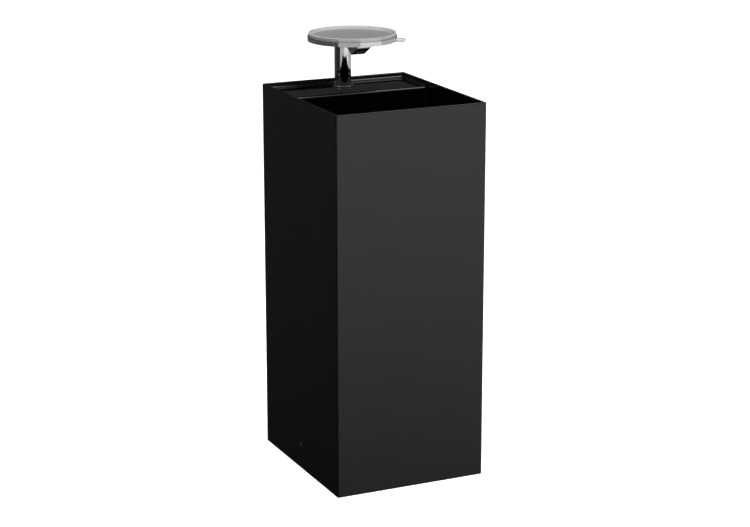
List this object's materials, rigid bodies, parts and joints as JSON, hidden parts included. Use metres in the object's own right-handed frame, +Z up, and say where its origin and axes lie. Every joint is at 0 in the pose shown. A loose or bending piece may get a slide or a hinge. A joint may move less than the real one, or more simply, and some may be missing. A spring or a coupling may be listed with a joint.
{
  "type": "freestanding washbasin",
  "caption": "Tall square ceramic washbasin column with a recessed tap shelf, mixer tap, round lift-off tray and clear lever.",
  "frame": {"origin": "on the floor, under the middle of the column", "axes": "+Z up, +X to the right of a person who stands at the basin, +Y towards the wall behind it"},
  "size_m": [0.375, 0.435, 1.026],
  "materials": {
    "black_ceramic": "gloss glaze",
    "chrome": "polished",
    "brass": "machined",
    "zinc_steel": "zinc plated",
    "clear_plastic": "clear polished",
    "black_plastic": "fine matt",
    "white_plastic": "moulded",
    "black_rubber": "matt",
    "disc_ceramic": "lapped",
    "copper_tube": "drawn tube"
  },
  "bodies": {
    "column": {"basin_body": "black_ceramic", "floor_bracket_right": "zinc_steel", "floor_bracket_left": "zinc_steel", "side_screws": "zinc_steel", "side_screw_sleeves": "white_plastic", "cover_caps": "black_plastic", "bracket_nuts": "zinc_steel", "tap_body": "chrome", "tap_base_ring": "chrome", "tap_base_seal": "black_rubber", "tap_rubber_washer": "black_rubber", "tap_clamp_plate": "zinc_steel", "tap_nut": "brass", "tap_stud": "brass", "supply_tail_cold": "copper_tube", "supply_tail_hot": "copper_tube", "supply_tail_seals": "black_rubber", "cartridge_body": "white_plastic", "cartridge_base": "white_plastic", "cartridge_gasket": "black_rubber", "ceramic_disc_fixed": "disc_ceramic", "stem_seal": "black_rubber", "cartridge_nut": "brass", "lever_glide_washer": "white_plastic", "tray_post": "chrome", "tray_post_screw": "chrome", "tray_pads": "black_rubber", "tray_carrier": "chrome", "carrier_screw": "zinc_steel", "aerator_housing": "chrome", "aerator_insert": "black_plastic", "aerator_seal": "black_rubber", "waste_fitting": "chrome", "waste_strainer": "chrome", "waste_top_seal": "black_rubber", "waste_bottom_seal": "black_rubber", "waste_lock_nut": "brass", "trap_inlet_nut": "chrome", "trap_inlet_seal": "black_rubber", "trap_dip_tube": "chrome", "trap_body": "chrome", "trap_neck_nut": "chrome", "trap_neck_seal": "black_rubber", "trap_cup": "chrome", "trap_cup_seal": "black_rubber", "trap_outlet_nut": "chrome", "trap_outlet_seal": "black_rubber", "trap_outlet_pipe": "chrome"},
    "lever_arm": {"lever": "clear_plastic", "lever_screw": "chrome", "cartridge_stem": "brass", "ceramic_disc_moving": "disc_ceramic"},
    "tray_lift_off": {"tray": "clear_plastic"},
    "waste_cover": {"drain_cover": "chrome"}
  },
  "joints": [
    {"name": "lever_swing", "type": "hinge", "parent": "column", "child": "lever_arm", "pos_m": [0, 0.1653, 1.0015], "axis": [0, 0, 1], "range_deg": [-28, 47]},
    {"name": "tray_lift", "type": "slide", "parent": "column", "child": "tray_lift_off", "axis": [0, 0, 1], "range_m": [0, 0.06]},
    {"name": "waste_cover_lift", "type": "slide", "parent": "column", "child": "waste_cover", "axis": [0, 0, 1], "range_m": [0, 0.06]}
  ]
}
